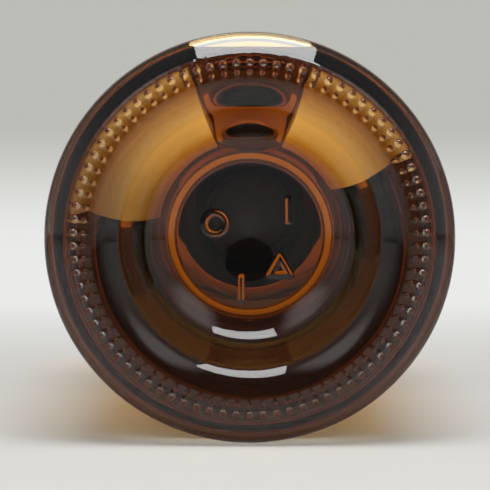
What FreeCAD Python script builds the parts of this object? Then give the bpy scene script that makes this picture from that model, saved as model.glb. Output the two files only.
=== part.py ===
"""A full whisky bottle of clear glass, lying on its side on a small flat spot.

The bottle's axis runs along Y: the base is at the -Y end and the capsule at the +Y end. Z is up,
and the origin is on the surface it lies on, under the middle of its length. Every piece is drawn
in the bottle's own frame first, with the axis on Y and the foot at y = 0, and is then moved.
"""
import FreeCAD, Part
import math
import os
import re

import Sketcher

# Driving sizes in millimetres, angles in degrees. Each one can be changed by itself.
SIZES = {
    # the blown body
    "body_radius": 40.0,
    "body_length": 148.0,
    "wall": 2.6,
    "heel_run": 4.8,
    "heel_rise": 4.2,
    "heel_rounding": 4.0,
    "heel_edge_rounding": 2.5,
    "inner_heel_radius": 8.0,
    "shoulder_radius": 22.0,
    "neck_flare": 16.0,
    "neck_radius": 16.0,
    "neck_length": 74.0,
    "bore_radius": 12.0,
    # the base: a nearly flat middle, then a flank that steepens on its way down to the foot
    "pushup_depth": 12.9,
    "middle_sag": 0.3,
    "middle_rounding": 6.0,
    "flank_run": 11.3,
    "flank_rounding": 12.0,
    "steep_run": 6.6,
    "steep_slope": 57.0,
    "foot_inset": 13.1,
    "foot_rounding": 7.8,
    "base_thickness": 3.5,
    "inner_rounding": 7.8,
    # the ring of short ribs moulded on the foot
    "rib_count": 82,
    "rib_inset": 6.6,
    "rib_length": 5.2,
    "rib_width": 1.4,
    "rib_height": 0.4,
    "rib_depth": 1.0,
    "rib_tilt": 2.0,
    # plain marks moulded in the middle of the base
    "mark_height": 0.35,
    "mark_line": 0.8,
    "mark_size": 5.0,
    "mark_reach": 8.5,
    # the sunk panel that the labels sit in, a little short of both ends of the straight body
    "panel_start": 10.0,
    "panel_end_gap": 3.0,
    "panel_depth": 0.4,
    "panel_ramp": 1.5,
    # the labels, each a little short of the panel's ends
    "label_margin": 2.0,
    "label_thickness": 0.2,
    "front_label_wrap": 206.0,
    "front_label_azimuth": 170.5,
    "back_label_wrap": 148.0,
    "back_label_azimuth": -9.5,
    # the pocket of air over the drink, under the top of the inner wall
    "air_depth": 3.2,
    # the capsule over the mouth and neck
    "capsule_wall": 0.6,
    "capsule_top": 1.6,
    "capsule_gap": 0.15,
    "capsule_skirt": 70.0,
    # what it lies on
    "flat_depth": 0.1,
}

# Sizes worked out from the driving ones. A rounding between two straight stretches of the section
# ends its radius times the tangent of half the turn away from their corner.
WORKED = {
    "heel_slope": "atan(heel_rise / heel_run)",
    "heel_reach": "heel_rounding * tan((90 - heel_slope) / 2)",
    "heel_edge_radius": "body_radius - heel_run",
    "heel_edge_reach": "heel_edge_rounding * tan(heel_slope / 2)",
    "foot_radius": "body_radius - foot_inset",
    "flank_radius": "foot_radius - steep_run",
    "middle_radius": "foot_radius - flank_run",
    "rib_ring_radius": "body_radius - rib_inset",
    "panel_end": "body_length - panel_end_gap",
    "label_start": "panel_start + label_margin",
    "label_height": "panel_end - panel_start - 2 * label_margin",
    "middle_slope": "atan(middle_sag / middle_radius)",
    "middle_drop": "pushup_depth - middle_sag",
    "flank_up": "steep_run * tan(steep_slope)",
    "bend_slope": "atan((middle_drop - flank_up) / (flank_run - steep_run))",
    "middle_reach": "middle_rounding * tan((bend_slope - middle_slope) / 2)",
    "flank_reach": "flank_rounding * tan((steep_slope - bend_slope) / 2)",
    "foot_reach": "foot_rounding * tan(steep_slope / 2)",
    "flank_slope": "atan(middle_drop / flank_run)",
    "inner_peak": "pushup_depth + base_thickness / cos(middle_slope)",
    "inner_middle": "middle_radius + base_thickness * tan((flank_slope + middle_slope) / 2)",
    "inner_middle_up": "inner_peak - inner_middle * tan(middle_slope)",
    "inner_reach": "inner_rounding * tan((flank_slope - middle_slope) / 2)",
    "inner_radius": "body_radius - wall",
    "valley_up": "inner_middle_up - (inner_radius - inner_middle) * tan(flank_slope)",
    "valley_reach": "inner_heel_radius * tan(45 + flank_slope / 2)",
    "shoulder_axis": "body_radius - shoulder_radius",
    "flare_axis": "neck_radius + neck_flare",
    "shoulder_span": "shoulder_radius + neck_flare",
    "flare_run": "sqrt(shoulder_span ^ 2 - (flare_axis - shoulder_axis) ^ 2)",
    "flare_up": "body_length + flare_run",
    "inner_shoulder": "shoulder_radius - wall",
    "inner_flare": "flare_axis - bore_radius",
    "inner_span": "inner_shoulder + inner_flare",
    "inner_flare_run": "sqrt(inner_span ^ 2 - (flare_axis - shoulder_axis) ^ 2)",
    "inner_flare_up": "body_length + inner_flare_run",
    "bottle_length": "flare_up + neck_length",
    "level": "inner_radius - air_depth",
    "axis_up": "body_radius - flat_depth",
    "panel_floor": "body_radius - panel_depth",
    "capsule_inside": "neck_radius + capsule_gap",
    "capsule_outside": "capsule_inside + capsule_wall",
    "capsule_end": "bottle_length + capsule_top",
    "capsule_foot": "bottle_length - capsule_skirt",
    "rib_dip": "sqrt((rib_length / 2 * sin(rib_tilt)) ^ 2 + (rib_depth * cos(rib_tilt)) ^ 2)",
    "rib_reach": "rib_dip - rib_depth + rib_height",
    "whole_length": "rib_reach + capsule_end",
}

document = FreeCAD.newDocument("whisky_bottle")
sheet = document.addObject("Spreadsheet::Sheet", "sizes")
for row, (name, size) in enumerate(SIZES.items(), start=1):
    sheet.set(f"A{row}", name)
    sheet.set(f"B{row}", str(size))
    sheet.setAlias(f"B{row}", name)
document.recompute()


def tied(text):
    """Point each size named in an expression at the object that holds it."""
    def held(match):
        word = match.group(0)
        if word in SIZES:
            return f"sizes.{word}"
        return f"worked.{word}" if word in WORKED else word
    return re.sub(r"[a-z_]+", held, text)


worked = document.addObject("App::VarSet", "worked")
for name, formula in WORKED.items():
    worked.addProperty("App::PropertyFloat", name, "Worked out")
    worked.setExpression(name, tied(formula))
document.recompute()


def size_of(text):
    """The present value of an expression in the named sizes."""
    return float(sheet.evalExpression(tied(text)))


def tie(item, **formulas):
    """Bind properties of an object to expressions; a double underscore stands for a dot."""
    for target, formula in formulas.items():
        item.setExpression(target.replace("__", "."), tied(formula))


def origin_part(body, role):
    """One of a body's own origin planes or axes."""
    return next(item for item in body.Origin.OriginFeatures if item.Role == role)


def new_body(label):
    """An empty body, named after its node and moved to where the bottle lies."""
    body = document.addObject("PartDesign::Body", label)
    body.Label = label
    tie(body, Placement__Base__y="rib_reach - whole_length / 2", Placement__Base__z="axis_up")
    return body


def new_sketch(body, name, plane="XY_Plane"):
    """An empty sketch on one of the body's origin planes."""
    sketch = body.newObject("Sketcher::SketchObject", name)
    sketch.AttachmentSupport = [(origin_part(body, plane), "")]
    sketch.MapMode = "FlatFace"
    return sketch


def pin(sketch, piece, vertex, corner):
    """Tie both coordinates of a vertex to expressions."""
    for kind, formula, axis in (("DistanceX", corner[0], -2), ("DistanceY", corner[1], -1)):
        if formula == "0":
            sketch.addConstraint(Sketcher.Constraint("PointOnObject", piece, vertex, axis))
            continue
        held = sketch.addConstraint(Sketcher.Constraint(kind, piece, vertex, size_of(formula)))
        sketch.setExpression(f"Constraints[{held}]", tied(formula))


def set_radius(sketch, piece, formula):
    """Tie the radius of an arc or a circle to an expression."""
    held = sketch.addConstraint(Sketcher.Constraint("Radius", piece, size_of(formula)))
    sketch.setExpression(f"Constraints[{held}]", tied(formula))


class Outline:
    """A closed line in a sketch, with each corner and radius tied to the named sizes."""

    def __init__(self, sketch, x, y):
        self.sketch = sketch
        self.corner = (x, y)
        self.first = (x, y)
        self.pieces = []

    @staticmethod
    def place(corner):
        """Where a corner lies with the present sizes."""
        return FreeCAD.Vector(size_of(corner[0]), size_of(corner[1]), 0)

    def add(self, curve, corner, vertices):
        """Add one piece that ends at a corner; vertices are its first and last in this line."""
        piece = self.sketch.addGeometry(curve, False)
        if self.pieces:
            before, before_vertices = self.pieces[-1]
            self.join(before, before_vertices[1], piece, vertices[0])
        self.pieces.append((piece, vertices))
        if corner == self.first:
            first, first_vertices = self.pieces[0]
            self.join(piece, vertices[1], first, first_vertices[0])
        pin(self.sketch, piece, vertices[1], corner)
        self.corner = corner
        return piece

    def join(self, piece, vertex, other, other_vertex):
        """Make two vertices one."""
        self.sketch.addConstraint(
            Sketcher.Constraint("Coincident", piece, vertex, other, other_vertex))

    def line(self, x, y):
        """A straight piece to a corner."""
        ends = self.place(self.corner), self.place((x, y))
        self.add(Part.LineSegment(*ends), (x, y), (1, 2))
        return self

    def arc(self, x, y, centre_x, centre_y, radius, turn):
        """A round piece to a corner, turning left (+1) or right (-1) about its centre."""
        start, end = self.place(self.corner), self.place((x, y))
        centre = self.place((centre_x, centre_y))
        angles = [math.atan2(point.y - centre.y, point.x - centre.x) for point in (start, end)]
        if turn < 0:
            angles.reverse()
        circle = Part.Circle(centre, FreeCAD.Vector(0, 0, 1), size_of(radius))
        vertices = (1, 2) if turn > 0 else (2, 1)
        piece = self.add(Part.ArcOfCircle(circle, *angles), (x, y), vertices)
        set_radius(self.sketch, piece, radius)
        return self

    def close(self):
        """A straight piece back to the first corner."""
        return self.line(*self.first)


def polygon(sketch, corners):
    """A closed line through corners given as expressions."""
    outline = Outline(sketch, *corners[0])
    for corner in corners[1:]:
        outline.line(*corner)
    outline.close()


def circle(sketch, x, y, radius):
    """A circle with its middle and radius tied to the named sizes."""
    middle = FreeCAD.Vector(size_of(x), size_of(y), 0)
    curve = Part.Circle(middle, FreeCAD.Vector(0, 0, 1), size_of(radius))
    piece = sketch.addGeometry(curve, False)
    pin(sketch, piece, 3, (x, y))
    set_radius(sketch, piece, radius)


def revolve(body, sketch, name, kind="PartDesign::Revolution"):
    """Turn a section right round the bottle's axis, to add it or, as a Groove, to cut it away."""
    turned = body.newObject(kind, name)
    turned.Profile = sketch
    turned.ReferenceAxis = (sketch, ["V_Axis"])
    turned.Angle = 360
    body.Tip = turned
    return turned


def cut_along(body, sketch, name):
    """Cut a section away along the whole length of the bottle."""
    cut = body.newObject("PartDesign::Pocket", name)
    cut.Profile = sketch
    cut.Type = "ThroughAll"
    cut.SideType = "Symmetric"
    body.Tip = cut
    return cut


def inside_line(outline):
    """The inner wall, from the middle of the base to the mouth."""
    outline.line("inner_middle - inner_reach * cos(middle_slope)",
                 "inner_middle_up + inner_reach * sin(middle_slope)")
    outline.arc("inner_middle + inner_reach * cos(flank_slope)",
                "inner_middle_up - inner_reach * sin(flank_slope)",
                "inner_middle - inner_reach * cos(middle_slope)"
                " - inner_rounding * sin(middle_slope)",
                "inner_middle_up + inner_reach * sin(middle_slope)"
                " - inner_rounding * cos(middle_slope)",
                "inner_rounding", -1)
    outline.line("inner_radius - valley_reach * cos(flank_slope)",
                 "valley_up + valley_reach * sin(flank_slope)")
    outline.arc("inner_radius", "valley_up + valley_reach",
                "inner_radius - inner_heel_radius", "valley_up + valley_reach",
                "inner_heel_radius", 1)
    outline.line("inner_radius", "body_length")
    outline.arc("shoulder_axis + inner_shoulder * (flare_axis - shoulder_axis) / inner_span",
                "body_length + inner_shoulder * inner_flare_run / inner_span",
                "shoulder_axis", "body_length", "inner_shoulder", 1)
    outline.arc("bore_radius", "inner_flare_up", "flare_axis", "inner_flare_up", "inner_flare", -1)
    outline.line("bore_radius", "bottle_length")


def outside_line(outline):
    """The outer wall, from the mouth back to the middle of the push-up."""
    outline.line("neck_radius", "bottle_length")
    outline.line("neck_radius", "flare_up")
    outline.arc("shoulder_axis + shoulder_radius * (flare_axis - shoulder_axis) / shoulder_span",
                "body_length + shoulder_radius * flare_run / shoulder_span",
                "flare_axis", "flare_up", "neck_flare", 1)
    outline.arc("body_radius", "body_length", "shoulder_axis", "body_length",
                "shoulder_radius", -1)
    outline.line("body_radius", "heel_rise + heel_reach")
    outline.arc("body_radius - heel_reach * cos(heel_slope)",
                "heel_rise - heel_reach * sin(heel_slope)",
                "body_radius - heel_rounding", "heel_rise + heel_reach", "heel_rounding", -1)
    outline.line("heel_edge_radius + heel_edge_reach * cos(heel_slope)",
                 "heel_edge_reach * sin(heel_slope)")
    outline.arc("heel_edge_radius - heel_edge_reach", "0",
                "heel_edge_radius - heel_edge_reach", "heel_edge_rounding",
                "heel_edge_rounding", -1)
    outline.line("foot_radius + foot_reach", "0")
    outline.arc("foot_radius - foot_reach * cos(steep_slope)", "foot_reach * sin(steep_slope)",
                "foot_radius + foot_reach", "foot_rounding", "foot_rounding", -1)
    outline.line("flank_radius + flank_reach * cos(steep_slope)",
                 "flank_up - flank_reach * sin(steep_slope)")
    outline.arc("flank_radius - flank_reach * cos(bend_slope)",
                "flank_up + flank_reach * sin(bend_slope)",
                "flank_radius + flank_reach * cos(steep_slope)"
                " - flank_rounding * sin(steep_slope)",
                "flank_up - flank_reach * sin(steep_slope)"
                " - flank_rounding * cos(steep_slope)",
                "flank_rounding", 1)
    outline.line("middle_radius + middle_reach * cos(bend_slope)",
                 "middle_drop - middle_reach * sin(bend_slope)")
    outline.arc("middle_radius - middle_reach * cos(middle_slope)",
                "middle_drop + middle_reach * sin(middle_slope)",
                "middle_radius - middle_reach * cos(middle_slope)"
                " - middle_rounding * sin(middle_slope)",
                "middle_drop + middle_reach * sin(middle_slope)"
                " - middle_rounding * cos(middle_slope)",
                "middle_rounding", 1)
    outline.line("0", "pushup_depth")


def triangle(sketch, x, y, size):
    """A triangle on its base, about a middle; size is the radius of the circle round it."""
    polygon(sketch, [
        (x, f"{y} + ({size})"),
        (f"{x} - ({size}) * cos(30)", f"{y} - ({size}) / 2"),
        (f"{x} + ({size}) * cos(30)", f"{y} - ({size}) / 2"),
    ])


def bar(sketch, x, y):
    """A short upright bar about a middle."""
    polygon(sketch, [
        (f"{x} - mark_line / 2", f"{y} - mark_size / 2"),
        (f"{x} + mark_line / 2", f"{y} - mark_size / 2"),
        (f"{x} + mark_line / 2", f"{y} + mark_size / 2"),
        (f"{x} - mark_line / 2", f"{y} + mark_size / 2"),
    ])


def build_marks(body):
    """Small plain marks that stand out from the middle of the base, as a mould leaves them."""
    edge = "middle_radius - middle_reach"
    edge_up = f"pushup_depth - ({edge}) * tan(middle_slope)"
    skin = new_sketch(body, "mark_skin")
    polygon(skin, [
        ("0", "pushup_depth - mark_height"),
        (edge, f"{edge_up} - mark_height"),
        (edge, f"{edge_up} + base_thickness / 2"),
        ("0", "pushup_depth + base_thickness / 2"),
    ])
    revolve(body, skin, "mark_skin_turned")

    shapes = new_sketch(body, "mark_shapes", "XZ_Plane")
    circle(shapes, "0", "0", "middle_radius")
    triangle(shapes, "mark_reach * 0.7", "-mark_reach * 0.75", "mark_size * 0.6")
    triangle(shapes, "mark_reach * 0.7", "-mark_reach * 0.75", "mark_size * 0.6 - mark_line * 2")
    circle(shapes, "-mark_reach * 0.8", "mark_reach * 0.3", "mark_size / 2")
    circle(shapes, "-mark_reach * 0.8", "mark_reach * 0.3", "mark_size / 2 - mark_line")
    bar(shapes, "mark_reach * 0.9", "mark_reach * 0.6")
    bar(shapes, "-mark_reach * 0.2", "-mark_reach * 1.2")
    cut_along(body, shapes, "mark_shapes_cut")


def build_glass():
    """The blown bottle, with its push-up, ribbed foot and sunk label panel."""
    body = new_body("bottle_glass")
    build_marks(body)

    wall = new_sketch(body, "wall_section")
    outline = Outline(wall, "0", "inner_peak")
    inside_line(outline)
    outside_line(outline)
    outline.close()
    revolve(body, wall, "wall_turned")

    panel = new_sketch(body, "panel_section")
    polygon(panel, [
        ("body_radius", "panel_start"),
        ("panel_floor", "panel_start + panel_ramp"),
        ("panel_floor", "panel_end - panel_ramp"),
        ("body_radius", "panel_end"),
        ("body_radius + panel_depth", "panel_end"),
        ("body_radius + panel_depth", "panel_start"),
    ])
    revolve(body, panel, "panel_cut", "PartDesign::Groove")

    rib = body.newObject("PartDesign::AdditiveEllipsoid", "foot_rib")
    rib.AttachmentSupport = [(origin_part(body, "XY_Plane"), "")]
    rib.MapMode = "FlatFace"
    rib.AttachmentOffset = FreeCAD.Placement(
        FreeCAD.Vector(), FreeCAD.Rotation(FreeCAD.Vector(0, 0, 1), size_of("rib_tilt")))
    tie(rib, Radius1="rib_width / 2", Radius2="rib_length / 2", Radius3="rib_depth",
        AttachmentOffset__Base__x="rib_ring_radius",
        AttachmentOffset__Base__y="rib_depth - rib_height",
        AttachmentOffset__Rotation__Angle="rib_tilt")
    body.Tip = rib
    document.recompute()
    ribs = body.newObject("PartDesign::PolarPattern", "foot_ribs")
    ribs.Originals = [rib]
    ribs.Axis = (origin_part(body, "Y_Axis"), [""])
    ribs.Angle = 360
    tie(ribs, Occurrences="rib_count")
    body.Tip = ribs

    flat = new_sketch(body, "flat_section", "XZ_Plane")
    polygon(flat, [
        ("-body_radius", "-axis_up"),
        ("body_radius", "-axis_up"),
        ("body_radius", "-body_radius - flat_depth"),
        ("-body_radius", "-body_radius - flat_depth"),
    ])
    cut_along(body, flat, "resting_flat")
    return body


def build_whisky():
    """The drink, which fills the glass up to its level just under the top of the body."""
    body = new_body("whisky")
    section = new_sketch(body, "drink_section")
    outline = Outline(section, "0", "inner_peak")
    inside_line(outline)
    outline.line("0", "bottle_length")
    outline.close()
    revolve(body, section, "drink_turned")

    air = new_sketch(body, "air_section", "XZ_Plane")
    polygon(air, [
        ("-body_radius", "level"),
        ("body_radius", "level"),
        ("body_radius", "body_radius"),
        ("-body_radius", "body_radius"),
    ])
    cut_along(body, air, "air_above")
    return body


def build_label(label):
    """A label stuck round part of the body, in the sunk panel."""
    body = new_body(label)
    section = new_sketch(body, f"{label}_section")
    polygon(section, [
        ("panel_floor", "label_start"),
        ("panel_floor + label_thickness", "label_start"),
        ("panel_floor + label_thickness", "label_start + label_height"),
        ("panel_floor", "label_start + label_height"),
    ])
    turned = revolve(body, section, f"{label}_turned")
    turned.Midplane = True
    tie(turned, Angle=f"{label}_wrap")
    turn = size_of(f"{label}_azimuth - 90")
    body.Placement.Rotation = FreeCAD.Rotation(FreeCAD.Vector(0, 1, 0), turn)
    tie(body, Placement__Rotation__Angle=f"{label}_azimuth - 90")
    return body


def build_capsule():
    """The stiff capsule that closes the mouth and covers the neck."""
    body = new_body("capsule")
    section = new_sketch(body, "capsule_section")
    polygon(section, [
        ("0", "bottle_length"),
        ("0", "capsule_end"),
        ("capsule_outside", "capsule_end"),
        ("capsule_outside", "capsule_foot"),
        ("capsule_inside", "capsule_foot"),
        ("capsule_inside", "bottle_length"),
    ])
    revolve(body, section, "capsule_turned")
    return body


bodies = [
    build_glass(),
    build_whisky(),
    build_label("front_label"),
    build_label("back_label"),
    build_capsule(),
]
document.recompute()

failed = [item.Name for item in document.Objects if {"Invalid", "Error"} & set(item.State)]
if failed:
    raise RuntimeError(f"these did not recompute: {failed}")
for body in bodies:
    if body.Shape.isNull() or not body.Shape.isValid() or len(body.Shape.Solids) != 1:
        raise RuntimeError(f"{body.Label} is not one sound solid")

os.makedirs("parts", exist_ok=True)
for body in bodies:
    body.Shape.exportStep(f"parts/{body.Label}.step")
    box = body.Shape.BoundBox
    print(f"{body.Label}: {body.Shape.Volume / 1000:.2f} ml, x {box.XMin:.2f} {box.XMax:.2f},"
          f" y {box.YMin:.2f} {box.YMax:.2f}, z {box.ZMin:.2f} {box.ZMax:.2f}")
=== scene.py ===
"""A full round whisky bottle of clear glass, lying on its side with its base to the viewer."""

import logging
import math
from collections.abc import Callable, Sequence
from dataclasses import dataclass, field, replace
from enum import Enum

import bmesh
import bpy
import numpy as np
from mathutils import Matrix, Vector


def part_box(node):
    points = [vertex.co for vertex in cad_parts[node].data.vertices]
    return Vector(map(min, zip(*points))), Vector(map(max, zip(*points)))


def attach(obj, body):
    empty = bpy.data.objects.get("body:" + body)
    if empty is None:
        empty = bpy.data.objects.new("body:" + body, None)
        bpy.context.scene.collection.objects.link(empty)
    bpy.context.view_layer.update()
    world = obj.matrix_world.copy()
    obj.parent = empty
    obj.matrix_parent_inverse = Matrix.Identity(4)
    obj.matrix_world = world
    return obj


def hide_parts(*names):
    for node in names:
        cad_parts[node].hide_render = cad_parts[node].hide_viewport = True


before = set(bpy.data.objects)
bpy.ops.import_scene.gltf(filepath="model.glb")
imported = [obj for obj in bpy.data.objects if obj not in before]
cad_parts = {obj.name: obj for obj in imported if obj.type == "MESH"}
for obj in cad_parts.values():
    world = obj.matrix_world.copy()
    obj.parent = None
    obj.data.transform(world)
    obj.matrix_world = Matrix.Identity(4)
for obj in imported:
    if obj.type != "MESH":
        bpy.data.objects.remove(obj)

log = logging.getLogger("whisky_bottle")

MM = 0.001
ON_AXIS = 1e-6
Colour = tuple[float, float, float]
Point = tuple[float, float]
Shape = Callable[[np.ndarray, np.ndarray, np.ndarray], np.ndarray]
Count = Callable[[float, float], int]
Step = Callable[[float, float], float]


class Side(Enum):
    """The two finishes of a piece, by the slot that each takes on its mesh."""

    OUTER = 0
    INNER = 1


class Place(Enum):
    """What a texture is placed by: a piece's own frame, or a direction of the world."""

    PIECE = "Object"
    WORLD = "Generated"


# Shader maths


class Socket:
    """One output of a shader node, used in expressions as a number, a colour or a vector."""

    def __init__(self, graph: "Graph", output: bpy.types.NodeSocket) -> None:
        """Keep the node tree and the output."""
        self.graph = graph
        self.output = output

    def __add__(self, other: "Value") -> "Socket":
        """Sum."""
        return self.graph.math("ADD", self, other)

    def __radd__(self, other: "Value") -> "Socket":
        """Sum with the number first."""
        return self.graph.math("ADD", other, self)

    def __sub__(self, other: "Value") -> "Socket":
        """Difference."""
        return self.graph.math("SUBTRACT", self, other)

    def __rsub__(self, other: "Value") -> "Socket":
        """Difference with the number first."""
        return self.graph.math("SUBTRACT", other, self)

    def __mul__(self, other: "Value") -> "Socket":
        """Product."""
        return self.graph.math("MULTIPLY", self, other)

    def __rmul__(self, other: "Value") -> "Socket":
        """Product with the number first."""
        return self.graph.math("MULTIPLY", other, self)

    def __truediv__(self, other: "Value") -> "Socket":
        """Quotient."""
        return self.graph.math("DIVIDE", self, other)

    def __rtruediv__(self, other: "Value") -> "Socket":
        """Quotient with the number first."""
        return self.graph.math("DIVIDE", other, self)

    def abs(self) -> "Socket":
        """Size without sign."""
        return self.graph.math("ABSOLUTE", self)

    def step(self, low: float, high: float) -> "Socket":
        """A smooth rise from 0 at low to 1 at high."""
        return self.graph.smooth(self, low, high)


Value = Socket | float | int | tuple


class Graph:
    """The node tree of one material or world, built from expressions."""

    def __init__(self, tree: bpy.types.NodeTree) -> None:
        """Keep the tree, emptied."""
        self.tree = tree
        tree.nodes.clear()

    @classmethod
    def of_material(cls, name: str) -> tuple[bpy.types.Material, "Graph"]:
        """Start a material.

        Args:
            name: The material's name.

        Returns:
            The new material and its empty node tree.
        """
        material = bpy.data.materials.new(name)
        material.use_nodes = True
        return material, cls(material.node_tree)

    def node(self, kind: str, inputs: dict[str | int, Value], **settings: object) -> bpy.types.Node:
        """Add any node.

        Args:
            kind: The node's type.
            inputs: Values or sockets, by input name or number.
            settings: Attributes of the node.

        Returns:
            The new node.
        """
        made = self.tree.nodes.new(kind)
        for key, setting in settings.items():
            setattr(made, key, setting)
        for key, value in inputs.items():
            self.feed(made.inputs[key], value)
        return made

    def feed(self, target: bpy.types.NodeSocket, value: Value) -> None:
        """Link a socket, or set a constant.

        Args:
            target: The input that is fed.
            value: The socket or the constant.
        """
        if isinstance(value, Socket):
            self.tree.links.new(value.output, target)
        elif isinstance(value, tuple) and len(value) == 3 and target.type == "RGBA":
            target.default_value = (*value, 1.0)
        else:
            target.default_value = value

    def get(self, node: bpy.types.Node, output: str | int = 0) -> Socket:
        """One output of a node, wrapped."""
        return Socket(self, node.outputs[output])

    def math(self, operation: str, *values: Value) -> Socket:
        """A Math node over numbers or sockets."""
        return self.get(self.node("ShaderNodeMath", dict(enumerate(values)), operation=operation))

    def smooth(self, value: Socket, low: float, high: float) -> Socket:
        """A smooth rise of a value from 0 at low to 1 at high."""
        ends = {"Value": value, "From Min": low, "From Max": high, "To Min": 0.0, "To Max": 1.0}
        return self.get(self.node("ShaderNodeMapRange", ends, interpolation_type="SMOOTHSTEP"))

    def mix(self, factor: Value, first: Value, second: Value) -> Socket:
        """A colour between two, by a factor."""
        ends = {"Factor": factor, 6: first, 7: second}
        return self.get(self.node("ShaderNodeMix", ends, data_type="RGBA"), 2)

    def place(self, kind: Place = Place.PIECE) -> tuple[Socket, Socket, Socket, Socket]:
        """Where a point is.

        Args:
            kind: What it is placed by.

        Returns:
            The whole vector, then its x, y and z, in metres for a piece.
        """
        point = self.get(self.node("ShaderNodeTexCoord", {}), kind.value)
        parts = self.node("ShaderNodeSeparateXYZ", {0: point})
        return point, *(self.get(parts, axis) for axis in range(3))

    def noise(self, point: Socket, scale: float, detail: float = 2.0) -> Socket:
        """Soft noise from 0 to 1, with a scale in waves per metre."""
        ends = {"Vector": point, "Scale": scale, "Detail": detail}
        return self.get(self.node("ShaderNodeTexNoise", ends), 0)

    def stretched(self, point: Socket, scale: Colour) -> Socket:
        """The point with each axis stretched by its own factor."""
        ends = {0: point, 1: scale}
        return self.get(self.node("ShaderNodeVectorMath", ends, operation="MULTIPLY"))

    def bump(self, height: Socket, distance: float, strength: float = 1.0) -> Socket:
        """A normal from a height of 0 to 1 that stands for a distance in metres."""
        ends = {"Height": height, "Distance": distance, "Strength": strength}
        return self.get(self.node("ShaderNodeBump", ends))

    def principled(self, inputs: dict[str | int, Value]) -> Socket:
        """A Principled shader."""
        return self.get(self.node("ShaderNodeBsdfPrincipled", inputs))

    def lets_light_by(self, surface: Socket, colour: Colour, share: Value = 1.0) -> Socket:
        """Let lamp light by to what lies behind a surface.

        Args:
            surface: The surface's shader.
            colour: The colour that the light takes on.
            share: How much of the surface lets it by.

        Returns:
            The shader with both.
        """
        shadow = self.get(self.node("ShaderNodeLightPath", {}), "Is Shadow Ray") * share
        clear = self.get(self.node("ShaderNodeBsdfTransparent", {"Color": colour}))
        return self.get(self.node("ShaderNodeMixShader", {0: shadow, 1: surface, 2: clear}))

    def output(self, surface: Socket, volume: Socket | None = None) -> None:
        """Send shaders to the material's output.

        Args:
            surface: The surface's shader.
            volume: The shader of what it encloses.
        """
        ends: dict[str | int, Value] = {"Surface": surface}
        if volume is not None:
            ends["Volume"] = volume
        self.node("ShaderNodeOutputMaterial", ends)


# Finishes


@dataclass(frozen=True)
class ClearGlass:
    """Soda glass: colourless with a breath of green, its outer skin a little uneven from the mould."""

    name: str
    tint: Colour = (0.955, 0.985, 0.965)
    ior: float = 1.5
    wetted: bool = False
    unevenness: float = 0.00002
    passing: Colour = (0.975, 0.975, 0.975)
    base_share: float = 0.35
    base_reach: float = 0.013

    def material(self, foot: float) -> bpy.types.Material:
        """Build the material, which lets less lamp light by in the thick base.

        Args:
            foot: Where the foot is along the bottle, in metres.

        Returns:
            Glass whose wetted side has no mirror of its own, as glass has none against a drink.
        """
        material, graph = Graph.of_material(self.name)
        point, _, y, _ = graph.place()
        waves = graph.noise(point, 60.0)
        tint = graph.mix(waves, self.tint, tuple(min(1.0, c * 1.01) for c in self.tint))
        inputs: dict[str | int, Value] = {
            "Base Color": tint,
            "Roughness": 0.0,
            "IOR": self.ior,
            "Transmission Weight": 1.0,
            "Normal": graph.bump(waves, self.unevenness),
        }
        if self.wetted:
            inputs["Specular Tint"] = (0.0, 0.0, 0.0)
        rise = (y - foot).step(self.base_reach * 0.6, self.base_reach)
        share = rise * (1 - self.base_share) + self.base_share
        graph.output(graph.lets_light_by(graph.principled(inputs), self.passing, share))
        return material


@dataclass(frozen=True)
class AmberDrink:
    """Whisky: a clear drink that takes the blue first, then the green."""

    name: str
    tint: Colour = (0.86, 0.62, 0.0)
    depth: float = 42.0
    ior: float = 1.36
    passing: Colour = (0.98, 0.95, 0.90)

    def material(self) -> bpy.types.Material:
        """Build the material.

        Returns:
            A clear drink, with its colour from how deep the light goes.
        """
        material, graph = Graph.of_material(self.name)
        point, _, _, _ = graph.place()
        waves = graph.noise(point, 45.0)
        body = graph.principled({
            "Base Color": graph.mix(waves, (1.0, 1.0, 1.0), (0.99, 0.985, 0.98)),
            "Roughness": 0.0,
            "IOR": self.ior,
            "Transmission Weight": 1.0,
            "Specular Tint": (0.0, 0.0, 0.0),
            "Normal": graph.bump(waves, 0.00001),
        })
        volume = graph.node("ShaderNodeVolumeAbsorption", {"Color": self.tint, "Density": self.depth})
        graph.output(graph.lets_light_by(body, self.passing), graph.get(volume))
        return material


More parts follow.
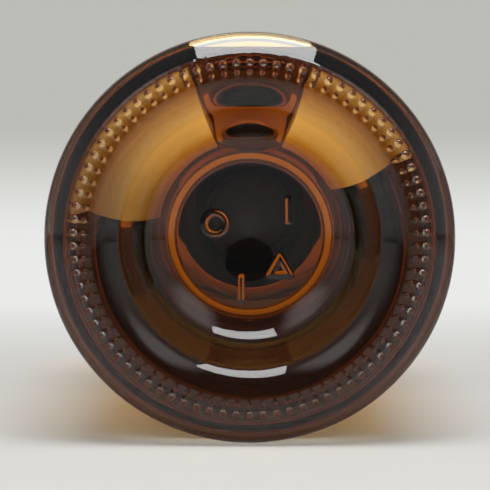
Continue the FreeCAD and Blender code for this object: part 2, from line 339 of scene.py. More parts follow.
@dataclass(frozen=True)
class LabelPaper:
    """Printed label paper: plain fields of colour in front, bare paper behind."""

    name: str
    paper: Colour
    print_colour: Colour
    accent: Colour
    low: float
    high: float
    glow: float
    passing: Colour
    bare: bool = False
    border: float = 0.035
    rule: float = 0.425
    band: float = 0.56
    band_half: float = 0.12
    sharp: float = 0.002

    def material(self) -> bpy.types.Material:
        """Build the material.

        Returns:
            Paper with fibres, a printed face with a band and two rules, and some light let through.
        """
        material, graph = Graph.of_material(self.name)
        point, x, y, z = graph.place()
        fibre = graph.noise(graph.stretched(point, (1.0, 0.35, 1.0)), 2600.0, 4.0)
        cloud = graph.noise(point, 90.0)
        share = (y - self.low) / (self.high - self.low)
        away = (share - 0.5).abs()
        edge = share.step(self.border, self.border + self.sharp)
        edge = edge * (1 - share.step(1 - self.border - self.sharp, 1 - self.border))
        rule = away.step(self.rule, self.rule + self.sharp)
        rule = rule * (1 - away.step(self.rule + 4 * self.sharp, self.rule + 5 * self.sharp))
        band = (share - self.band).abs().step(self.band_half, self.band_half + self.sharp)
        colour = graph.mix(edge, self.accent, self.print_colour)
        colour = graph.mix(rule, colour, self.accent)
        colour = graph.mix(band, self.accent, colour)
        if self.bare:
            colour = graph.mix(cloud, self.paper, tuple(c * 0.9 for c in self.paper))
        worn = graph.mix(cloud * 0.25 + fibre * 0.2, colour, self.paper)
        skin = graph.principled({
            "Base Color": worn,
            "Roughness": fibre * 0.15 + 0.5,
            "Specular IOR Level": 0.0 if self.bare else 0.5,
            "Normal": graph.bump(fibre, 0.00002),
        })
        through = graph.node("ShaderNodeBsdfTranslucent", {"Color": self.paper})
        ends = {0: self.glow, 1: skin, 2: graph.get(through)}
        mixed = graph.get(graph.node("ShaderNodeMixShader", ends))
        graph.output(graph.lets_light_by(mixed, self.passing))
        return material


@dataclass(frozen=True)
class CapsuleSkin:
    """Satin capsule material: dark, with drawn streaks and rubbed patches."""

    name: str
    colour: Colour = (0.028, 0.024, 0.024)
    rubbed: Colour = (0.09, 0.08, 0.075)

    def material(self) -> bpy.types.Material:
        """Build the material.

        Returns:
            Dark skin with fine streaks along the neck and a little wear.
        """
        material, graph = Graph.of_material(self.name)
        point, _, _, _ = graph.place()
        streaks = graph.noise(graph.stretched(point, (1.0, 0.03, 1.0)), 900.0, 3.0)
        wear = graph.noise(point, 220.0, 4.0).step(0.58, 0.75)
        graph.output(graph.principled({
            "Base Color": graph.mix(wear * 0.5, self.colour, self.rubbed),
            "Roughness": streaks * 0.18 + 0.32,
            "Normal": graph.bump(streaks, 0.00002),
            "Coat Weight": 0.15,
        }))
        return material


# Wall lines


@dataclass(frozen=True)
class Corner:
    """A corner of a wall line, in millimetres from the axis and along it, with its rounding."""

    out: float
    along: float
    rounding: float = 0.0


def arc(middle: Point, radius: float, start: float, end: float, count: int = 40) -> list[Point]:
    """Points along an arc, with angles in degrees."""
    turns = np.radians(np.linspace(start, end, count))
    return [(middle[0] + radius * math.cos(t), middle[1] + radius * math.sin(t)) for t in turns]


def rounded(corners: Sequence[Corner]) -> list[Point]:
    """Join corners by straight runs and fillets.

    Args:
        corners: The corners in order; the first and last are ends.

    Returns:
        The line's points.
    """
    line: list[Point] = [(corners[0].out, corners[0].along)]
    for before, corner, after in zip(corners, corners[1:], corners[2:]):
        here = np.array([corner.out, corner.along])
        back = np.array([before.out, before.along]) - here
        forth = np.array([after.out, after.along]) - here
        back /= np.linalg.norm(back)
        forth /= np.linalg.norm(forth)
        if corner.rounding <= 0:
            line.append((corner.out, corner.along))
            continue
        opening = math.acos(float(np.clip(back @ forth, -1, 1)))
        middle = here + (back + forth) / np.linalg.norm(back + forth) * (
            corner.rounding / math.sin(opening / 2))
        reach = corner.rounding / math.tan(opening / 2)
        first, last = here + back * reach - middle, here + forth * reach - middle
        start = math.degrees(math.atan2(first[1], first[0]))
        swing = (math.degrees(math.atan2(last[1], last[0])) - start + 180) % 360 - 180
        line += arc((middle[0], middle[1]), corner.rounding, start, start + swing)
    line.append((corners[-1].out, corners[-1].along))
    return line


def walk(line: Sequence[Point], spacing: Step) -> list[Point]:
    """Points along a line, set apart by a spacing that depends on where they are.

    Args:
        line: The line's points.
        spacing: The step at a point, from its distance out and along.

    Returns:
        The new points, with both ends kept.
    """
    points = np.array(line, float)
    runs = np.linalg.norm(np.diff(points, axis=0), axis=1)
    points = points[np.r_[True, runs > 1e-7]]
    length = np.r_[0.0, np.cumsum(np.linalg.norm(np.diff(points, axis=0), axis=1))]
    walked, at = [], 0.0
    while at < length[-1] - 0.15:
        here = (float(np.interp(at, length, points[:, 0])), float(np.interp(at, length, points[:, 1])))
        walked.append(here)
        at += spacing(*here)
    walked.append((float(points[-1, 0]), float(points[-1, 1])))
    return walked


class Turning:
    """A surface turned round the bottle's axis, ring by ring."""

    def __init__(self) -> None:
        """Start with no rings."""
        self.points: list[np.ndarray] = []
        self.faces: list[tuple[int, ...]] = []
        self.slots: list[int] = []
        self.count = 0

    def ring(self, shape: Shape, out: float, along: float, segments: int) -> range:
        """Add one ring of points, or a single point on the axis.

        Args:
            shape: Gives its points, from radii, places along and azimuths.
            out: Its radius.
            along: Its place along the axis.
            segments: How many points it has off the axis.

        Returns:
            The numbers of its points.
        """
        segments = 1 if out < ON_AXIS else segments
        turn = np.arange(segments) * (2 * math.pi / segments)
        self.points.append(shape(np.full(segments, out), np.full(segments, along), turn))
        self.count += segments
        return range(self.count - segments, self.count)

    def join(self, low: range, high: range, side: Side) -> None:
        """Fill between two rings, whose counts are equal, or one twice the other, or one a point.

        Args:
            low: The first ring.
            high: The ring after it.
            side: The finish of the faces.
        """
        a, b = len(low), len(high)
        before = len(self.faces)
        if a == 1:
            self.faces += [(low[0], high[(k + 1) % b], high[k]) for k in range(b)]
        elif b == 1:
            self.faces += [(low[k], low[(k + 1) % a], high[0]) for k in range(a)]
        elif a == b:
            self.faces += [(low[k], low[(k + 1) % a], high[(k + 1) % b], high[k]) for k in range(a)]
        elif b == 2 * a:
            for k in range(a):
                self.faces.append((low[k], low[(k + 1) % a], high[(2 * k + 2) % b],
                                   high[2 * k + 1], high[2 * k]))
        elif a == 2 * b:
            for k in range(b):
                self.faces.append((low[2 * k], low[2 * k + 1], low[(2 * k + 2) % a],
                                   high[(k + 1) % b], high[k]))
        else:
            raise ValueError(f"rings of {a} and {b} points can't be joined")
        self.slots += [side.value] * (len(self.faces) - before)

    def line(self, points: Sequence[Point], shape: Shape, segments: Count, side: Side,
             start: range | None = None) -> range:
        """Turn a whole line.

        Args:
            points: The line, in order.
            shape: Gives the points of a ring, from radii, places along and azimuths.
            segments: How many points a ring has, from its distance out and along.
            side: The finish of its faces.
            start: The ring that the line goes on from.

        Returns:
            The last ring.
        """
        last = start
        for out, along in points:
            ring = self.ring(shape, out, along, segments(out, along))
            if last is not None:
                self.join(last, ring, side)
            last = ring
        assert last is not None
        return last

    def mesh(self, name: str) -> bpy.types.Mesh:
        """Make the mesh.

        Args:
            name: The mesh's name.

        Returns:
            The finished mesh, with its faces outwards and smooth.
        """
        mesh = bpy.data.meshes.new(name)
        mesh.from_pydata(np.concatenate(self.points) * MM, [], self.faces)
        mesh.polygons.foreach_set("material_index", self.slots)
        work = bmesh.new()
        work.from_mesh(mesh)
        bmesh.ops.recalc_face_normals(work, faces=work.faces)
        for face in work.faces:
            face.smooth = True
        work.to_mesh(mesh)
        work.free()
        return mesh


# The lie


@dataclass(frozen=True)
class Lie:
    """Where the bottle lies: its foot, its axis height and its radius, in millimetres."""

    foot: float
    axis_up: float
    radius: float

    @classmethod
    def from_frame(cls, label_start: float) -> "Lie":
        """Read the lie from the solids.

        Args:
            label_start: The label's distance from the foot plane.

        Returns:
            The lie of the bottle in the frame.
        """
        low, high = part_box("bottle_glass")
        radius = (high.x - low.x) / 2 / MM
        label_low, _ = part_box("front_label")
        return cls(foot=label_low.y / MM - label_start, axis_up=high.z / MM - radius, radius=radius)

    def round(self, out: np.ndarray, along: np.ndarray, turn: np.ndarray) -> np.ndarray:
        """Points in the frame, from radii, distances along and azimuths from the top."""
        up = np.maximum(self.axis_up + out * np.cos(turn), 0.0)
        return np.stack([out * np.sin(turn), self.foot + along, up], axis=1)


def add_piece(name: str, mesh: bpy.types.Mesh, node: str, slot: str) -> bpy.types.Object:
    """Put a piece in the scene in place of a solid.

    Args:
        name: The piece's name.
        mesh: Its mesh, in the frame.
        node: The solid that it stands for.
        slot: Not used.

    Returns:
        The new object.
    """
    piece = bpy.data.objects.new(name, mesh)
    bpy.context.scene.collection.objects.link(piece)
    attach(piece, "root")
    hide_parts(node)
    log.info("%s: %d faces", name, len(mesh.polygons))
    return piece


# The bottle


def soft_step(value: np.ndarray, low: float, high: float) -> np.ndarray:
    """A smooth rise from 0 at low to 1 at high."""
    share = np.clip((value - low) / (high - low), 0.0, 1.0)
    return share * share * (3 - 2 * share)


@dataclass(frozen=True)
class Bead:
    """A small bead on each rib: its distance out from the rib's middle, its radius and its height."""

    place: float
    radius: float
    height: float


@dataclass
class GlassBottle:
    """The blown bottle: push-up, ribbed foot, sunk label panel, shoulder and neck."""

    lie: Lie
    wall: float = 2.6
    heel_run: float = 4.8
    heel_rise: float = 4.2
    heel_edge: float = 2.5
    heel_rounding: float = 4.0
    inner_heel: float = 8.0
    inner_rounding: float = 7.8
    pushup: float = 12.9
    middle: float = 15.6
    sag: float = 0.3
    middle_rounding: float = 6.0
    steep: float = 57.0
    flank: float = 20.3
    flank_rounding: float = 12.0
    foot: float = 26.9
    foot_rounding: float = 7.8
    base: float = 3.5
    body: float = 148.0
    shoulder: float = 22.0
    flare: float = 16.0
    neck: float = 16.0
    bore: float = 12.0
    neck_length: float = 74.0
    panel_start: float = 10.0
    panel_end: float = 145.0
    panel_depth: float = 0.4
    panel_ramp: float = 1.5
    ribs: int = 82
    rib_ring: float = 33.4
    rib_length: float = 5.2
    rib_width: float = 1.4
    rib_height: float = 0.08
    beads: tuple[Bead, ...] = (Bead(0.3, 0.72, 0.32), Bead(-1.6, 0.5, 0.2))
    mark_height: float = 0.2
    mark_line: float = 0.8
    mark_reach: float = 8.5
    mark_size: float = 5.0
    lip: float = 1.2
    mouth: float = 0.8
    wander: float = 0.10
    near_wall: float = 0.5
    fine: float = 0.4
    coarse: float = 4.0
    outside: ClearGlass = field(default_factory=lambda: ClearGlass("clear_glass"))
    inside: ClearGlass = field(
        default_factory=lambda: ClearGlass("wetted_glass", wetted=True, base_share=1.0))

    def section(self) -> list[Corner]:
        """The push-up's outer line.

        Returns:
            Its corners, from its middle to the foot, with the flank in two slopes.
        """
        flank_up = (self.foot - self.flank) * math.tan(math.radians(self.steep))
        return [
            Corner(0.0, self.pushup),
            Corner(self.middle, self.pushup - self.sag, self.middle_rounding),
            Corner(self.flank, flank_up, self.flank_rounding),
            Corner(self.foot, 0.0, self.foot_rounding),
        ]

    def tail(self, radius: float, shoulder: float, neck: float, flare: float) -> list[Point]:
        """The shoulder and the flare of a wall line.

        Args:
            radius: The body's radius on this line.
            shoulder: The shoulder's radius.
            neck: The neck's radius.
            flare: The radius of the hollow curve between shoulder and neck.

        Returns:
            The line's points, from the body's end to where the neck is straight.
        """
        shoulder_middle = (radius - shoulder, self.body)
        across = neck + flare - shoulder_middle[0]
        rise = math.sqrt((shoulder + flare) ** 2 - across ** 2)
        swing = math.degrees(math.atan2(rise, across))
        return arc(shoulder_middle, shoulder, 0, swing) + arc(
            (neck + flare, self.body + rise), flare, 180 + swing, 180)

    def outer_line(self) -> list[Point]:
        """The outer wall.

        Returns:
            The line's points, from the middle of the push-up to the mouth.
        """
        radius = self.lie.radius
        line = rounded([
            *self.section(),
            Corner(radius - self.heel_run, 0.0, self.heel_edge),
            Corner(radius, self.heel_rise, self.heel_rounding),
            Corner(radius, self.body),
        ])
        tail = self.tail(radius, self.shoulder, self.neck, self.flare)
        return line + tail[1:] + [(self.neck, tail[-1][1] + self.neck_length)]

    def inner_line(self) -> list[Point]:
        """The inner wall.

        Returns:
            The line's points, from the middle of the push-up to the mouth.
        """
        radius = self.lie.radius - self.wall
        peak, middle, _, foot = self.section()
        top, flank = math.atan2(self.sag, self.middle), math.atan2(middle.along, foot.out - middle.out)
        out = middle.out + self.base * math.tan((top + flank) / 2)
        above = peak.along + self.base / math.cos(top)
        edge = Corner(out, above - out * math.tan(top), self.inner_rounding)
        valley = Corner(radius, edge.along - (radius - out) * math.tan(flank), self.inner_heel)
        line = rounded([Corner(0.0, above), edge, valley, Corner(radius, self.body)])
        tail = self.tail(radius, self.shoulder - self.wall, self.bore,
                         self.neck + self.flare - self.bore)
        return line + tail[1:] + [(self.bore, self.length())]

    def length(self) -> float:
        """The bottle's length from foot to mouth."""
        tail = self.tail(self.lie.radius, self.shoulder, self.neck, self.flare)
        return tail[-1][1] + self.neck_length

    def ripple(self, out: np.ndarray, along: np.ndarray, turn: np.ndarray) -> np.ndarray:
        """The unevenness of the blown inner wall.

        Args:
            out, along, turn: The points' radii, distances from the foot and azimuths from the top.

        Returns:
            How far each point wanders out from the line.
        """
        fade = soft_step(out, 3.0, 14.0)
        slow = np.sin(2 * turn + 0.6) * 0.5 + np.sin(3 * turn - along / 41.0) * 0.35
        quick = np.sin(7 * turn + along / 23.0) * 0.12
        return self.wander * fade * (slow + quick)

    def rib_lift(self, out: np.ndarray, along: np.ndarray, turn: np.ndarray) -> np.ndarray:
        """The ribs and their beads, which stand out of the foot.

        Args:
            out, along, turn: The points' radii, distances from the foot and azimuths from the top.

        Returns:
            The places along the bottle, with ribs and beads.
        """
        pitch = 2 * math.pi / self.ribs
        sideways = ((turn / pitch + 0.5) % 1.0 - 0.5) * pitch * out
        outward = out - self.rib_ring
        bar = (outward / (self.rib_length / 2)) ** 2 + (sideways / (self.rib_width / 2)) ** 2
        lift = self.rib_height * np.maximum(1 - bar, 0.0)
        for bead in self.beads:
            away = ((outward - bead.place) ** 2 + sideways ** 2) / bead.radius ** 2
            lift = lift + bead.height * np.maximum(1 - away, 0.0)
        return along - lift * (along < self.heel_rise - 0.2)

    def mark_lift(self, across: np.ndarray, up: np.ndarray) -> np.ndarray:
        """The mould's four small marks in the middle of the base.

        Args:
            across: Places to the side of the axis.
            up: Places above the axis.

        Returns:
            How far the marks stand out there.
        """
        reach, size, line = self.mark_reach, self.mark_size, self.mark_line
        ring = np.abs(np.hypot(across + reach * 0.8, up - reach * 0.3) - (size - line) / 2) - line / 2
        dx, dz = across - reach * 0.7, up + reach * 0.75
        edges = [dx * math.cos(a) + dz * math.sin(a) for a in np.radians([30.0, 150.0, 270.0])]
        triangle = np.abs(np.maximum.reduce(edges) - size * 0.3 + line / 2) - line / 2
        bars = [np.maximum(np.abs(across - x) - line / 2, np.abs(up - z) - size / 2)
                for x, z in ((reach * 0.9, reach * 0.6), (-reach * 0.2, -reach * 1.2))]
        nearest = np.minimum.reduce([ring, triangle, *bars])
        return self.mark_height * soft_step(-nearest, -0.2, 0.2)

    def outer_shape(self, out: np.ndarray, along: np.ndarray, turn: np.ndarray) -> np.ndarray:
        """The outer skin, with ribs, marks and the sunk panel.

        Args:
            out, along, turn: The points' radii, distances from the foot and azimuths from the top.

        Returns:
            The points in the frame.
        """
        start = soft_step(along, self.panel_start, self.panel_start + self.panel_ramp)
        end = soft_step(along, self.panel_end - self.panel_ramp, self.panel_end)
        sunk = self.panel_depth * start * (1 - end) * (out > self.lie.radius - self.near_wall)
        marks = self.mark_lift(out * np.sin(turn), out * np.cos(turn)) * (out < self.middle - 1.5)
        return self.lie.round(out - sunk, self.rib_lift(out, along, turn) - marks, turn)

    def inner_shape(self, out: np.ndarray, along: np.ndarray, turn: np.ndarray) -> np.ndarray:
        """The inner skin in the frame."""
        return self.lie.round(out + self.ripple(out, along, turn), along, turn)

    def outer_spacing(self, out: float, along: float) -> float:
        """How closely the outer line is divided: closest over the ribs, then the marks.

        Args:
            out, along: The point on the line.

        Returns:
            The step to the next point.
        """
        if out < self.lie.radius - self.near_wall and along < self.body:
            if out < self.middle - 1:
                return 0.3
            return 0.16 if abs(out - self.rib_ring) < self.rib_length / 2 else self.fine
        ramps = (self.panel_start - 0.3, self.panel_end - self.panel_ramp - 0.3)
        if any(ramp <= along <= ramp + self.panel_ramp + 0.6 for ramp in ramps):
            return self.fine
        if along < self.body:
            nearest = min((ramp - along for ramp in ramps if ramp > along), default=self.coarse)
            return min(self.coarse, max(self.fine, nearest))
        return 1.0 if out > self.neck + 0.05 else self.coarse

    def outer_segments(self, out: float, along: float) -> int:
        """How many points a ring of the outer skin has: whole multiples of the ribs.

        Args:
            out, along: The point on the line.

        Returns:
            The number of points.
        """
        if along > self.panel_start + 3 and out > self.lie.radius - 1 or along > self.body:
            return self.ribs * 2
        if out < 5.0:
            return self.ribs if out < 2.0 else self.ribs * 2
        away = abs(out - self.rib_ring) - self.rib_length / 2
        return self.ribs * (16 if away < 0.2 else 8 if away < 1.0 else 4)

    def inner_spacing(self, out: float, along: float) -> float:
        """How closely the inner line is divided: closest round the base.

        Args:
            out, along: The point on the line.

        Returns:
            The step to the next point.
        """
        if along < 20:
            return 1.0 if out < 15 else 0.5
        if along < self.body:
            return self.coarse
        return 1.0 if out > self.bore + 0.2 else self.coarse

    def inner_segments(self, out: float, along: float) -> int:
        """How many points a ring of the inner skin has."""
        return self.ribs if out < 4.0 and along < 20 else self.ribs * 2

    def even_segments(self, out: float, along: float) -> int:
        """How many points a ring has where the skin is plain."""
        return self.ribs * 2

    def build(self) -> None:
        """Build and dress the bottle."""
        outer = walk(self.outer_line(), self.outer_spacing)
        inner = walk(self.inner_line(), self.inner_spacing)
        end = outer[-1][1]
        lip = arc((self.neck - self.lip, end - self.lip), self.lip, 0, 90, 6)
        mouth = arc((self.bore + self.mouth, end - self.mouth), self.mouth, 90, 180, 5)
        turning = Turning()
        last = turning.line(outer[:-1], self.outer_shape, self.outer_segments, Side.OUTER)
        last = turning.line(lip, self.outer_shape, self.even_segments, Side.OUTER, last)
        last = turning.line(mouth, self.inner_shape, self.even_segments, Side.INNER, last)
        turning.line(inner[-2::-1], self.inner_shape, self.inner_segments, Side.INNER, last)
        piece = add_piece("bottle", turning.mesh("bottle"), "bottle_glass", "clear_glass")
        for finish in (self.outside, self.inside):
            piece.data.materials.append(finish.material(self.lie.foot * MM))


@dataclass
class Whisky:
    """The drink, which wets the wall all round and leaves a thin pocket of air on top."""

    bottle: GlassBottle
    air: float = 3.2
    climb: float = 0.9
    fade: float = 1.5
    into_wall: float = 0.05
    insets: tuple[float, ...] = (0.012, 0.03, 0.06, 0.10, 0.15, 0.22, 0.31, 0.45, 0.65, 0.9)
    finish: AmberDrink = field(default_factory=lambda: AmberDrink("amber_drink"))

    def shape(self, out: np.ndarray, along: np.ndarray, turn: np.ndarray) -> np.ndarray:
        """The wetted skin, just into the wall.

        Args:
            out, along, turn: The points' radii, distances from the foot and azimuths from the top.

        Returns:
            The points in the frame.
        """
        bottle = self.bottle
        wider = out + bottle.ripple(out, along, turn) + self.into_wall * (out > ON_AXIS)
        return bottle.lie.round(wider, along - self.into_wall * (along < 16), turn)

    def build(self) -> None:
        """Build and dress the drink."""
        bottle = self.bottle
        inner = walk(bottle.inner_line(), bottle.inner_spacing)
        end = bottle.length() - 1.0
        lid = [(bottle.bore, end), (bottle.bore / 2, end), (0.0, end)]
        turning = Turning()
        last = turning.line(inner[:-1], self.shape, bottle.inner_segments, Side.OUTER)
        turning.line(lid, self.shape, bottle.even_segments, Side.OUTER, last)
        mesh = turning.mesh("whisky_body")
        self.cut_surface(mesh)
        piece = add_piece("whisky_body", mesh, "whisky", "drink")
        piece.data.materials.append(self.finish.material())

    def cut_surface(self, mesh: bpy.types.Mesh) -> None:
        """Cut the drink at its level and curve the edge of its surface up to the glass.

        Args:
            mesh: The drink's mesh, which is changed.
        """
        bottle = self.bottle
        flat = bottle.lie.axis_up + bottle.lie.radius - bottle.wall - self.air
        contact = (flat + self.climb * 0.85) * MM
        work = bmesh.new()
        work.from_mesh(mesh)
        parts = work.verts[:] + work.edges[:] + work.faces[:]
        bmesh.ops.bisect_plane(work, geom=parts, plane_co=(0, 0, contact), plane_no=(0, 0, 1),
                               clear_outer=True)
        rim = [edge for edge in work.edges if edge.is_boundary]
        for edge in rim:
            edge.smooth = False
        self.add_surface(work, self.in_order(rim), contact)
        for face in work.faces:
            face.smooth = True
        bmesh.ops.recalc_face_normals(work, faces=work.faces)
        work.to_mesh(mesh)
        work.free()

    @staticmethod
    def in_order(rim: list[bmesh.types.BMEdge]) -> list[bmesh.types.BMVert]:
        """Put the corners of a closed loop in order.

        Args:
            rim: The loop's edges.

        Returns:
            Its corners, from one to the next.
        """
        edges = set(rim)
        loop = [rim[0].verts[0]]
        while edges:
            edge = next(edge for edge in loop[-1].link_edges if edge in edges)
            edges.remove(edge)
            loop.append(edge.other_vert(loop[-1]))
        return loop[:-1]

    def add_surface(self, work: bmesh.types.BMesh, rim: list[bmesh.types.BMVert],
                    contact: float) -> None:
        """Fill the cut with shrinking copies of its outline, sunk by their distance from the glass.

        Args:
            work: The drink's mesh.
            rim: The outline's corners.
            contact: The height of the outline.
        """
        outline = np.array([(vert.co.x, vert.co.y) for vert in rim])
        middle = (outline.max(0) + outline.min(0)) / 2
        half = (outline.max(0) - outline.min(0)) / 2
        last = rim
        for depth in self.insets:
            inset = depth * half[0]
            inner = middle + (outline - middle) * (1 - inset / half)
            away = np.linalg.norm(inner[:, None] - outline[None], axis=2).min(axis=1)
            fall = self.climb * MM * (np.exp(-away / (self.fade * MM)) - 1)
            ring = [work.verts.new((x, y, contact + z)) for (x, y), z in zip(inner, fall)]
            for k in range(len(ring)):
                after = (k + 1) % len(ring)
                work.faces.new((last[k], last[after], ring[after], ring[k]))
            last = ring
        bmesh.ops.triangulate(work, faces=[work.faces.new(last)])


@dataclass
class Label:
    """A paper label wrapped round the body, glued into the sunk panel."""

    bottle: GlassBottle
    name: str
    node: str
    slot: str
    wrap: float
    azimuth: float
    finish: LabelPaper
    back: LabelPaper
    start: float = 12.0
    height: float = 131.0
    thickness: float = 0.2
    bond: float = 0.1
    corner: float = 4.0
    rows: int = 25

    def points(self, rows: int) -> np.ndarray:
        """The label's two skins, in columns round the body.

        Args:
            rows: The points of a column.

        Returns:
            The points of the printed skin, then those of the glued one, in metres.
        """
        lie = self.bottle.lie
        inside = lie.radius - self.bottle.panel_depth
        half = math.radians(self.wrap / 2)
        printed, glued = [], []
        for step in np.linspace(-1.0, 1.0, self.columns):
            to_end = (1 - abs(step)) * half * inside
            cut = 0.0
            if to_end < self.corner:
                cut = self.corner - math.sqrt(max(0.0, self.corner ** 2 - (self.corner - to_end) ** 2))
            along = np.linspace(self.start + cut, self.start + self.height - cut, rows)
            turn = np.full(rows, math.radians(self.azimuth) + step * half)
            printed.append(lie.round(np.full(rows, inside + self.thickness), along, turn))
            glued.append(lie.round(np.full(rows, inside - self.bond), along, turn))
        return np.concatenate(printed + glued) * MM

    @property
    def columns(self) -> int:
        """The columns of points round the body."""
        return int(self.wrap / 2.0) + 1

    def faces(self, rows: int) -> list[tuple[int, int, int, int]]:
        """The faces of both skins and of the edge between them.

        Args:
            rows: The points of a column.

        Returns:
            The numbers of each face's points.
        """
        across, total = self.columns - 1, self.columns * rows
        faces = []
        for i in range(across):
            for j in range(rows - 1):
                a, b = i * rows + j, (i + 1) * rows + j
                faces.append((a, b, b + 1, a + 1))
                faces.append((total + a, total + a + 1, total + b + 1, total + b))
        ends = [(i * rows + j, (i + 1) * rows + j) for i in range(across) for j in (0, rows - 1)]
        ends += [(i * rows + j, i * rows + j + 1) for i in (0, across) for j in range(rows - 1)]
        return faces + [(a, b, total + b, total + a) for a, b in ends]

    def build(self) -> None:
        """Build and dress the label, printed outside and bare inside."""
        faces = self.faces(self.rows)
        glued = self.columns * self.rows
        mesh = bpy.data.meshes.new(self.name)
        mesh.from_pydata(self.points(self.rows), [], faces)
        mesh.polygons.foreach_set("material_index", [
            (Side.INNER if min(face) >= glued else Side.OUTER).value for face in faces])
        work = bmesh.new()
        work.from_mesh(mesh)
        bmesh.ops.recalc_face_normals(work, faces=work.faces)
        for face in work.faces:
            face.smooth = True
        for edge in work.edges:
            edge.smooth = len(edge.link_faces) < 2 or edge.calc_face_angle(0.0) < math.radians(40)
        work.to_mesh(mesh)
        work.free()
        piece = add_piece(self.name, mesh, self.node, self.slot)
        for finish in (self.finish, self.back):
            piece.data.materials.append(finish.material())


@dataclass
class Capsule:
    """The capsule over the whole neck: a drawn skirt with a rolled bead, a ring of flutes and a top."""

    bottle: GlassBottle
    wall: float = 0.6
    top: float = 1.6
    gap: float = 0.15
    skirt: float = 70.0
    rim: float = 0.3
    groove: float = 0.18
    band: float = 19.0
    flutes: int = 82
    flute_depth: float = 0.14
    finish: CapsuleSkin = field(default_factory=lambda: CapsuleSkin("capsule_skin"))
    liner: CapsuleSkin = field(default_factory=lambda: CapsuleSkin(
        "capsule_liner", colour=(0.55, 0.3, 0.2), rubbed=(0.6, 0.4, 0.28)))

    def shape(self, out: np.ndarray, along: np.ndarray, turn: np.ndarray) -> np.ndarray:
        """The skin, with shallow flutes round the closure.

        Args:
            out, along, turn: The points' radii, distances from the foot and azimuths from the top.

        Returns:
            The points in the frame.
        """
        end = self.bottle.length() + self.top
        zone = soft_step(along, end - 17.0, end - 16.0) * (1 - soft_step(along, end - 4.0, end - 3.0))
        near = out > self.bottle.neck + self.gap + self.wall / 2
        wave = 0.5 + 0.5 * np.cos(self.flutes * turn)
        return self.bottle.lie.round(out - self.flute_depth * zone * near * wave, along, turn)

    def build(self) -> None:
        """Build and dress the capsule."""
        mouth = self.bottle.length()
        end, foot = mouth + self.top, mouth - self.skirt
        inside = self.bottle.neck + self.gap
        outside = inside + self.wall
        line = rounded([
            Corner(0.0, mouth + 0.05),
            Corner(inside, mouth + 0.05, 0.8),
            Corner(inside, foot, 0.25),
            Corner(outside, foot, 0.25),
            Corner(outside, foot + 1.2, self.rim),
            Corner(outside - self.groove, foot + 1.6, self.rim),
            Corner(outside - self.groove, end - self.band, self.rim),
            Corner(outside, end - self.band + 0.6, self.rim),
            Corner(outside, end, 1.0),
            Corner(outside - 2.6, end, self.rim),
            Corner(outside - 3.0, end - self.rim, 0.2),
            Corner(0.0, end - self.rim),
        ])
        spaced = walk(line, lambda out, along: 0.3 if along > end - 1.4 or along < foot + 2 else 1.2)
        inner = [point for point in spaced if point[1] < mouth + 0.1 and point[0] < inside - 0.05]
        turning = Turning()
        last = turning.line(inner, self.shape, self.segments, Side.INNER)
        turning.line(spaced[len(inner):], self.shape, self.segments, Side.OUTER, last)
        piece = add_piece("neck_capsule", turning.mesh("neck_capsule"), "capsule", "capsule")
        for finish in (self.finish, self.liner):
            piece.data.materials.append(finish.material())

    def segments(self, out: float, along: float) -> int:
        """How many points a ring has: whole multiples of the flutes.

        Args:
            out, along: The point on the line.

        Returns:
            The number of points.
        """
        if out < 6:
            return self.flutes
        plain = out < 11 or along < self.bottle.length() + self.top - self.band
        return self.flutes * (2 if plain else 4)


# The studio


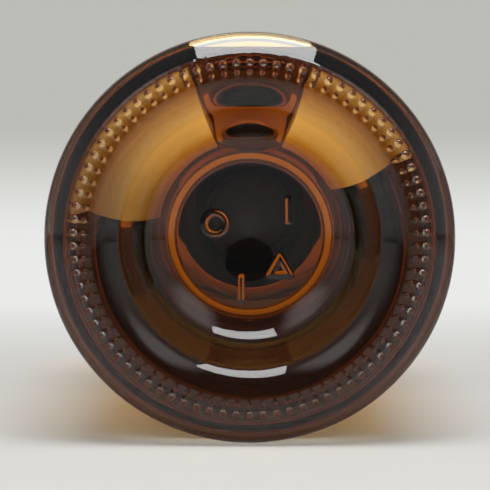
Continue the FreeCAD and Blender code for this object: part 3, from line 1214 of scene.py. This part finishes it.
@dataclass
class Studio:
    """A plain pale floor that sweeps up into a backdrop, one overhead softbox and the camera."""

    lie: Lie
    floor: Colour = (0.575, 0.57, 0.55)
    # far and high: the glow shown behind the bottle at floor level and up the sweep; high is darker, a
    # painted shade up the backdrop
    far: Colour = (0.82, 0.83, 0.81)
    high: Colour = (0.50, 0.505, 0.47)
    world: float = 0.25
    half_width: float = 2.2
    bend: float = 0.5
    behind: float = 0.6
    box: tuple[float, float] = (0.58, 0.5)
    power: float = 8.2
    lamp_at: tuple[float, float, float] = (0.04, -0.17, 0.89)
    lamp_aim: tuple[float, float, float] = (0.02, 0.0, 0.04)
    distance: float = 400.0
    rise: float = 16.0
    off_axis: Point = (-0.9, -1.1)
    fills: float = 412 / 490
    limb: float = 0.007

    def build(self) -> None:
        """Set up the floor, light, world and camera."""
        self.add_floor()
        self.add_world()
        self.add_softbox()
        self.add_camera()
        bpy.context.scene.view_settings.view_transform = "Standard"
        bpy.context.scene.cycles.transparent_max_bounces = 32

    def add_floor(self) -> None:
        """The floor and the backdrop in one sweep, which hides nothing from a camera behind it."""
        foot = self.lie.foot * MM
        start = foot + self.behind
        line = [(foot - 1.5, 0.0), (start, 0.0)]
        line += [(start + self.bend * math.sin(t), self.bend * (1 - math.cos(t)))
                 for t in np.linspace(0.0, math.pi / 2, 49)[1:]]
        line.append((start + self.bend, 2.2))
        mesh = bpy.data.meshes.new("floor")
        points = [(x, y, z) for y, z in line for x in (-self.half_width, self.half_width)]
        faces = [(2 * i, 2 * i + 1, 2 * i + 3, 2 * i + 2) for i in range(len(line) - 1)]
        mesh.from_pydata(points, [], faces)
        sweep = bpy.data.objects.new("floor", mesh)
        bpy.context.scene.collection.objects.link(sweep)
        material, graph = Graph.of_material("pale_floor")
        point, _, y, z = graph.place()
        grain = graph.noise(point, 900.0, 4.0)
        wide = graph.noise(point, 3.0)
        colour = graph.mix(wide * 0.3 + grain * 0.2, self.floor, tuple(c * 0.96 for c in self.floor))
        lit = graph.principled({"Base Color": colour, "Roughness": 0.8})
        # Painted shade: the glow shown behind the bottle fades from the far colour to the darker high
        # colour up the sweep's curve.
        glow = graph.mix(z.step(0.004, 0.078), self.far, self.high)
        shown = graph.get(graph.node("ShaderNodeEmission", {"Color": glow, "Strength": 1.0}))
        path = graph.node("ShaderNodeLightPath", {})
        seen = graph.math("MAXIMUM", graph.get(path, "Is Camera Ray"), graph.math(
            "MAXIMUM", graph.get(path, "Is Glossy Ray"), graph.get(path, "Is Transmission Ray")))
        away = (y - foot).step(0.10, 0.42)
        front = graph.get(graph.node("ShaderNodeMixShader", {0: seen * away, 1: lit, 2: shown}))
        behind = graph.get(graph.node("ShaderNodeNewGeometry", {}), "Backfacing")
        behind = behind * graph.get(path, "Is Camera Ray")
        clear = graph.get(graph.node("ShaderNodeBsdfTransparent", {}))
        graph.output(graph.get(graph.node("ShaderNodeMixShader", {0: behind, 1: front, 2: clear})))
        mesh.materials.append(material)

    def add_world(self) -> None:
        """Even light from all round, dimmer in front, with a soft field on each side of the softbox."""
        world = bpy.data.worlds.new("studio")
        bpy.context.scene.world = world
        world.use_nodes = True
        graph = Graph(world.node_tree)
        _, x, y, z = graph.place(Place.WORLD)
        front = (y + 0.35).step(-0.45, 0.25)
        side = x.abs().step(0.35, 0.9) * (1 - z.step(0.2, 0.8))
        colour = graph.mix(front, (0.4, 0.39, 0.38), (1.0, 1.0, 1.0))
        colour = graph.mix(side, colour, (2.4, 2.4, 2.35))
        soft = x.abs().step(0.25, 0.45) * (1 - x.abs().step(0.6, 0.85))
        soft = soft * z.step(0.3, 0.5) * (1 - y.step(-0.45, -0.15))
        colour = graph.mix(soft, colour, (6.0, 6.0, 6.0))
        sky = graph.node("ShaderNodeBackground", {"Color": colour, "Strength": self.world})
        graph.node("ShaderNodeOutputWorld", {0: graph.get(sky)})

    def add_softbox(self) -> None:
        """One softbox overhead, a little before the bottle."""
        foot = Vector((0.0, self.lie.foot * MM, 0.0))
        lamp = bpy.data.lights.new("softbox", "AREA")
        lamp.shape = "RECTANGLE"
        lamp.size, lamp.size_y = self.box
        lamp.energy = self.power
        holder = bpy.data.objects.new("softbox", lamp)
        bpy.context.scene.collection.objects.link(holder)
        holder.visible_transmission = False
        holder.location = foot + Vector(self.lamp_at)
        aim = foot + Vector(self.lamp_aim) - holder.location
        holder.rotation_euler = aim.to_track_quat("-Z", "Y").to_euler()

    def add_camera(self) -> None:
        """The camera before the base, a little above the axis."""
        lens = bpy.data.cameras.new("camera")
        camera = bpy.data.objects.new("camera", lens)
        bpy.context.scene.collection.objects.link(camera)
        bpy.context.scene.camera = camera
        camera.location = (0.0, (self.lie.foot - self.distance) * MM,
                           (self.lie.axis_up + self.rise) * MM)
        aside, above = self.off_axis
        target = Vector((aside, self.lie.foot, self.lie.axis_up + above)) * MM
        aim = target - camera.location
        camera.rotation_euler = aim.to_track_quat("-Z", "Y").to_euler()
        across = 2 * self.lie.radius * MM / self.fills
        lens.sensor_width = 36.0
        lens.lens = lens.sensor_width * (aim.length + self.limb) / across
        lens.clip_start = 0.01


def main() -> None:
    """Build the bottle, the drink, the labels, the capsule and the studio, in that order."""
    logging.basicConfig(level=logging.INFO, format="%(name)s %(message)s")
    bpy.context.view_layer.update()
    lie = Lie.from_frame(Label.start)
    log.info("foot %.3f, axis up %.3f, radius %.3f", lie.foot, lie.axis_up, lie.radius)
    bottle = GlassBottle(lie)
    bottle.build()
    Whisky(bottle).build()
    low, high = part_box("front_label")
    span = {"low": low.y, "high": high.y}
    dark = LabelPaper("front_print", paper=(0.06, 0.052, 0.047), print_colour=(0.03, 0.027, 0.026),
                      accent=(0.42, 0.31, 0.12), **span, glow=0.0, passing=(1.0, 1.0, 1.0))
    cream = LabelPaper("back_print", paper=(0.88, 0.84, 0.74), print_colour=(0.74, 0.69, 0.56),
                       accent=(0.35, 0.16, 0.06), **span, glow=0.6, passing=(0.80, 0.77, 0.70))
    Label(bottle, "front_paper", "front_label", "front_paper", 206.0, 170.5, dark,
          replace(dark, name="front_bare", paper=(0.026, 0.017, 0.014), bare=True)).build()
    Label(bottle, "back_paper", "back_label", "back_paper", 148.0, -9.5, cream,
          replace(cream, name="back_bare", paper=(0.92, 0.67, 0.37), bare=True,
                  passing=(1.0, 0.97, 0.92))).build()
    Capsule(bottle).build()
    Studio(lie).build()


if __name__ == "__main__":
    main()
